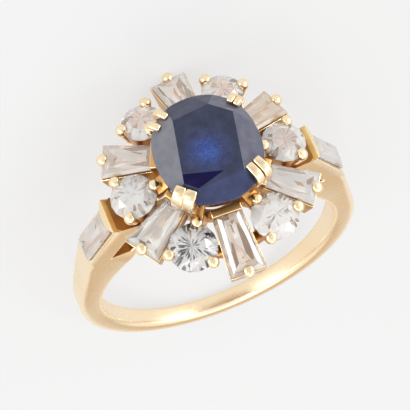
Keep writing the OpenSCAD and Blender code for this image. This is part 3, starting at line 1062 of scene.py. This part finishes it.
def build_end_bar(stone):
    """Bar across the inner end of a tapered stone, folded a little over it."""
    half_width = stone.inner_width / 2 + END_BAR_OVERHANG
    bpy.ops.mesh.primitive_cube_add(size=2)
    bar = added("end_bar")
    edit(bar)
    bpy.ops.mesh.select_all(action="SELECT")
    swell(x=END_BAR_THICKNESS / 2, y=half_width, z=(END_BAR_TOP + END_BAR_DEPTH) / 2)
    shift(
        x=-stone.length / 2 - END_BAR_THICKNESS / 2 - SEAT_GAP,
        z=(END_BAR_TOP - END_BAR_DEPTH) / 2,
    )
    pick("faces", lambda p, n: n.z > 0.9)
    shift(x=END_BAR_FOLD)
    bpy.ops.mesh.inset(thickness=0.06, depth=0.04)
    done()
    ease_edges(bar, 0.05, 3, 20)
    # Painted shade on the bar's top and on its walls below the rim
    dress(bar, POLISHED_GOLD, (RAW_SHADE_GOLD, lambda p, n: n.z > 0.9 or is_low(p, n)))
    return bar


# Half width of the tie under a round stone, and of the two that are wider
TIE_HALF_WIDTH = 0.32
WIDE_TIES = {"round_4": 0.62, "round_6": 0.55}
TIE_HALF_HEIGHT = 0.36
TIE_END = 0.44
TIE_DEPTH = 0.5
TIE_RISE = 0.5


def build_tie(stone):
    """Block that solders a round stone's collet to the rim rail, raised at its inner end."""
    inner = RIM_R - stone.distance
    outer = -TIE_END * stone.length
    half_width = WIDE_TIES.get(stone.node, TIE_HALF_WIDTH)
    middle = ((inner + outer) / 2, 0, -TIE_DEPTH)
    bpy.ops.mesh.primitive_cube_add(size=2, location=middle)
    tie = added("tie")
    edit(tie)
    bpy.ops.mesh.select_all(action="SELECT")
    swell(x=(outer - inner) / 2, y=half_width, z=TIE_HALF_HEIGHT, about=middle)
    pick("faces", lambda p, n: n.x < -0.9)
    shift(z=TIE_RISE)
    done()
    ease_edges(tie, 0.12, 3)
    # Painted shade over the whole tie
    dress(tie, RAW_SHADE_GOLD)
    return tie


def build_mounts():
    """One mount for each surround stone: its collet, its claws and its seat."""
    round_pattern = build_round_collet()
    bead_pattern = build_bead_claw()
    mounts = []
    for stone in SURROUND:
        name = "mount_" + stone.node
        reach = stone.length / 2
        if stone.outer_width > 0:
            parts = [build_taper_collet(stone), build_end_bar(stone)]
            directions = (0,)
            bead_reach = reach + TAPER_BEAD_OUT
        else:
            collet = copy_of(round_pattern, "collet")
            share = reach / ROUND_PATTERN_R
            place(collet, Matrix.Diagonal((share, share, 1, 1)))
            parts = [collet, build_tie(stone)]
            directions = ROUND_CLAW_DIRECTIONS
            bead_reach = reach + ROUND_BEAD_OUT
        for direction in directions:
            bead = copy_of(bead_pattern, "bead")
            place(bead, turn(direction, "Z") @ Matrix.Translation((bead_reach, 0, 0)))
            parts.append(bead)
        room = stone_room(stone.node)
        for part in parts:
            place(part, stone_place(stone))
            cut(part, room)
            close_seams(part)
        discard(room)
        mount = join(parts, name)
        polish(mount, 40)
        mounts.append(mount)
    discard(round_pattern)
    discard(bead_pattern)
    return mounts


# Double claws

def centre_edge(direction):
    a = math.radians(direction)
    return (
        (abs(math.cos(a)) / CENTRE_HALF_WIDTH) ** CENTRE_ROUNDNESS
        + (abs(math.sin(a)) / CENTRE_HALF_LENGTH) ** CENTRE_ROUNDNESS
    ) ** (-1 / CENTRE_ROUNDNESS)


def build_half_claw(name, edge, width, bend_r, rise, tip, head_height):
    """Flat bar from the basket up past the girdle, thicker at its head and bent over the stone."""
    head = Vector((edge - CLAW_GRIP, 0, CENTRE_Z + rise))
    leg = head - Vector((BASKET_R, 0, BASKET_Z))
    thickness = CLAW_SHARE_OF_BEND * bend_r
    shank = leg.length - head_height
    lean = math.atan2(leg.x, leg.z)
    bpy.ops.mesh.primitive_cube_add(size=2)
    claw = added(name)
    edit(claw)
    bpy.ops.mesh.select_all(action="SELECT")
    swell(x=thickness / 2, y=width / 2, z=shank / 2)
    shift(x=bend_r - thickness / 2, z=shank / 2)
    pick("faces", lambda p, n: n.z > 0.9)
    extrude(z=CLAW_SWELL)
    pick("verts", lambda p: p.x > bend_r - 0.01 and p.z > shank + 0.01)
    shift(x=CLAW_SWELL)
    pick("faces", lambda p, n: n.z > 0.9)
    extrude(z=head_height - CLAW_SWELL)
    bpy.ops.mesh.spin(steps=8, angle=math.radians(CLAW_BEND), center=(0, 0, leg.length), axis=(0, 1, 0))
    slope = math.radians(CLAW_BEND)
    extrude(x=-tip * math.sin(slope), z=tip * math.cos(slope))
    swell(y=CLAW_TIP_SHARE)
    done()
    close_seams(claw)
    ease_edges(claw, CLAW_ROUNDING * width, 4, 35)
    # Painted shade on the leg below the head
    dress(claw, CLAW_GOLD, (RAW_SHADE_GOLD, lambda p, n: p.z < shank - 0.05))
    place(claw, Matrix.Translation((BASKET_R, 0, BASKET_Z)) @ Matrix.Rotation(lean, 4, "Y"))
    return claw


def build_double_claws():
    claws = []
    room = stone_room("centre_stone")
    for index, (direction, width, *head, spread_out, twist) in enumerate(CLAWS, 1):
        edge = centre_edge(direction)
        pattern = build_half_claw("half_claw", edge, width, *head)
        tip = Matrix.Translation((edge - CLAW_REACH, 0, 0))
        twisted = tip @ turn(twist, "Z") @ tip.inverted()
        halves = []
        for half in (-1, 1):
            copy = copy_of(pattern, "half")
            fan = turn(direction, "Z") @ twisted @ turn(half * spread_out / 2, "Z")
            place(copy, fan @ Matrix.Translation((0, half * CLAW_SHARE * width / 2, 0)))
            cut(copy, room)
            halves.append(copy)
        discard(pattern)
        claw = join(halves, f"double_claw_{index}")
        polish(claw, 40)
        claws.append(claw)
    discard(room)
    return claws


# Making and laying down all the metal

def build_metal():
    bar = build_shoulder_bar()
    band = build_band()
    # Painted warm shade in the forks, painted deep shade where the arms meet the head, and painted
    # shade under the baguettes
    dress(
        band, SATIN_GOLD,
        (WARM_SHADE_GOLD, is_inside_fork), (SHADED_GOLD, is_under_head), (RAW_SHADE_GOLD, is_in_seat),
    )
    gallery = build_gallery()
    # Painted shade over the whole gallery under the head
    dress(gallery, RAW_SHADE_GOLD)
    pieces = [band, bar, other_side(bar, "shoulder_bar_left"), gallery]
    for piece in pieces + build_mounts() + build_double_claws():
        lay_down(piece)


def is_under_head(p, n):
    """Inner ends of the upper arms, where they meet the head; they get painted deep shade."""
    return abs(p.x) < ARM_TOP.x + 0.05 and p.z > ARM_TOP.z - 1.2 and abs(p.y) < 1.4 and abs(n.y) < 0.5


def is_inside_fork(p, n):
    """Faces of the fork that look at each other, given painted warm shade; under a baguette,
    is_in_seat() has the last word.
    """
    half_way = (FORK.x + SHOULDER_CORNER.x) / 2
    from_axis = math.hypot(p.x, p.z)
    return (
        p.z > FORK.z - 0.2 and abs(p.x) < half_way and n.z < -0.3 and from_axis > FINGER_R + 0.2
        or p.z > FORK.z and n.z > 0.3 and from_axis < FINGER_R + ARCH_THICKNESS + 0.1
    )


def is_in_seat(p, n):
    """Faces of the baguettes' hollows, and all faces under them down to the finger hole's wall: painted
    shade.
    """
    own = shoulder_place(SHOULDER_REACH, BAGUETTE_MIDDLE).inverted() @ Vector((abs(p.x), p.y, p.z))
    return (
        abs(own.x) < BAGUETTE_HALF_LENGTH + 2 * SEAT_GAP
        and abs(own.y) < BAGUETTE_HALF_WIDTH + 2 * SEAT_GAP
        and own.z < -0.05
    )


def facets(axes, material, test):
    """A material and the test for its facets; the test gets a normal in the stone's own frame."""
    turned = axes.to_3x3().inverted()
    return material, lambda p, n: test((turned @ n).normalized())


def is_table(n):
    return n.z > 0.995


def faces_between(low, high, least=0.3, most=0.99):
    """Test for crown facets that face between two directions round the axis of the head."""
    return lambda n: least < n.z < most and low < math.degrees(math.atan2(n.y, n.x)) % 360 < high


def dress_centre_stone(node):
    # Crown facets get painted reflections by the way they face
    dress(
        node, BLUE_FACETS,
        facets(LYING, BLUE_TABLE, is_table),
        facets(LYING, LEFT_REFLECTION_FACETS, faces_between(125, 225)),
        facets(LYING, TOP_REFLECTION_FACETS, faces_between(55, 125)),
        facets(LYING, RIGHT_REFLECTION_FACETS, faces_between(0, 55)),
        facets(LYING, RIGHT_REFLECTION_FACETS, faces_between(335, 360)),
    )


def dress_round_stone(name, axes, seed):
    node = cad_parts[name]
    if name == "round_5":
        crisp = star_cut_stone(
            "crisp_" + name, axes, seed, CRISP_TONES, CRISP_CLEARNESS, CRISP_SPLINTERS,
        )
        dress(node, crisp)
        return
    sides = star_cut_stone("white_" + name, axes, seed, ROUND_SIDE_TONES)
    tones = WHITE_TABLE_TONES if name in ("round_4", "round_6") else PINK_TABLE_TONES
    table = star_cut_stone("table_" + name, axes, seed, tones)
    dress(node, sides, facets(axes, table, is_table))


def dress_step_stone(name, axes, outline, seed):
    side_tones, table_tones = OWN_TONES.get(name, (STEP_SIDE_TONES, STEP_TABLE_TONES))
    sides = step_cut_stone(name + "_sides", axes, outline, seed, side_tones)
    table = step_cut_stone(name + "_table", axes, outline, seed, table_tones)
    dress(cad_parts[name], sides, facets(axes, table, is_table))


def finish_stones():
    """Gives each stone of the part its own materials."""
    dress_centre_stone(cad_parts["centre_stone"])
    for stone in SURROUND:
        axes = LYING @ stone_place(stone)
        outline = (stone.length, stone.inner_width, stone.outer_width)
        if stone.outer_width > 0:
            dress_step_stone(stone.node, axes, outline, stone.direction)
        else:
            dress_round_stone(stone.node, axes, stone.direction)
    baguette = (2 * BAGUETTE_HALF_LENGTH, 2 * BAGUETTE_HALF_WIDTH, 2 * BAGUETTE_HALF_WIDTH)
    right = shoulder_place(SHOULDER_REACH, BAGUETTE_MIDDLE)
    left = turn(180, "Z") @ right
    dress_step_stone("baguette_right", LYING @ right, baguette, 3)
    dress_step_stone("baguette_left", LYING @ left, baguette, 5)


# Floor, light and camera

FLOOR_SIZE = 1.6
FLOOR_GLOW = 0.66
RING_HEART = Vector((0, 0, 0.008))
# Lights: name, azimuth, elevation, distance, size, brightness
LIGHTS = (
    ("front_box_1", 45, 8, 0.45, 0.22, 6),
    ("front_box_2", -50, 8, 0.45, 0.22, 6),
    ("side_box_1", 75, 40, 0.40, 0.25, 1.2),
    ("side_box_2", -75, 45, 0.40, 0.25, 1.2),
    ("back_box", 180, 60, 0.45, 0.30, 1.0),
    ("glint_1", 36, 62, 0.40, 0.03, 30),
    ("glint_2", -75, 55, 0.40, 0.03, 30),
    ("glint_3", 150, 65, 0.40, 0.03, 30),
)


def build_floor():
    """A pale floor, lit a little from below so that hardly a shadow shows."""
    bpy.ops.mesh.primitive_plane_add(size=FLOOR_SIZE)
    floor = added("floor")
    material, nodes, links = new_material("pale_floor")
    shader = nodes["Principled BSDF"]
    shader.inputs["Roughness"].default_value = 0.9
    where = nodes.new("ShaderNodeTexCoord").outputs["Object"]
    tone = ramp(
        nodes, links, noise(nodes, links, where, FLOOR_GRAIN, 2),
        ((0.3, grey(0.14)), (0.7, grey(0.16))),
    )
    links.new(tone, shader.inputs["Base Color"])
    shader.inputs["Emission Color"].default_value = (1, 1, 1, 1)
    shader.inputs["Emission Strength"].default_value = FLOOR_GLOW
    floor.data.materials.append(material)


def add_soft_light(name, azimuth, elevation, distance, size, brightness):
    """A square soft box seen from the ring at an azimuth from the front, towards the right."""
    a, e = math.radians(azimuth), math.radians(elevation)
    away = Vector((math.sin(a) * math.cos(e), -math.cos(a) * math.cos(e), math.sin(e)))
    bpy.ops.object.light_add(type="AREA", location=away * distance + RING_HEART)
    light = bpy.context.object
    light.name = name
    light.data.size = size
    light.data.energy = brightness * math.pi * size * size
    light.rotation_euler = (-away).to_track_quat("-Z", "Y").to_euler()


def build_light():
    world = bpy.data.worlds.new("studio")
    world.use_nodes = True
    bpy.context.scene.world = world
    nodes = world.node_tree.nodes
    links = world.node_tree.links
    where = nodes.new("ShaderNodeTexCoord").outputs["Generated"]
    to_camera = (Vector(CAMERA_PLACE) - RING_HEART).normalized()
    photographer = ramp(
        nodes, links, vector_step(nodes, links, "DOT_PRODUCT", where, tuple(to_camera)),
        ((0.6, (1, 1, 1)), (0.86, grey(0.95)), (0.97, grey(0.78))),
    )
    backdrop = ramp(
        nodes, links, vector_step(nodes, links, "DOT_PRODUCT", where, (0, 0.99, 0.12)),
        ((0.80, grey(1)), (0.95, (0.89, 0.71, 0.52))),
    )
    rise = nodes.new("ShaderNodeSeparateXYZ")
    links.new(where, rise.inputs["Vector"])
    walls = ramp(
        nodes, links, rise.outputs["Z"],
        ((0.0, grey(0.55)), (0.14, grey(0.66)), (0.35, grey(0.95)), (1.0, grey(1.05))),
    )
    room = mixed(nodes, links, "MULTIPLY", photographer, walls)
    room = mixed(nodes, links, "MULTIPLY", room, backdrop)
    links.new(room, nodes["Background"].inputs["Color"])
    for light in LIGHTS:
        add_soft_light(*light)


def add_camera():
    turned = [math.radians(angle) for angle in CAMERA_TURN]
    bpy.ops.object.camera_add(location=CAMERA_PLACE, rotation=turned)
    camera = bpy.context.object
    camera.data.lens = CAMERA_LENS
    camera.data.clip_start = 0.01
    bpy.context.scene.camera = camera


bpy.context.scene.view_settings.view_transform = "Standard"
build_metal()
finish_stones()
build_floor()
build_light()
add_camera()
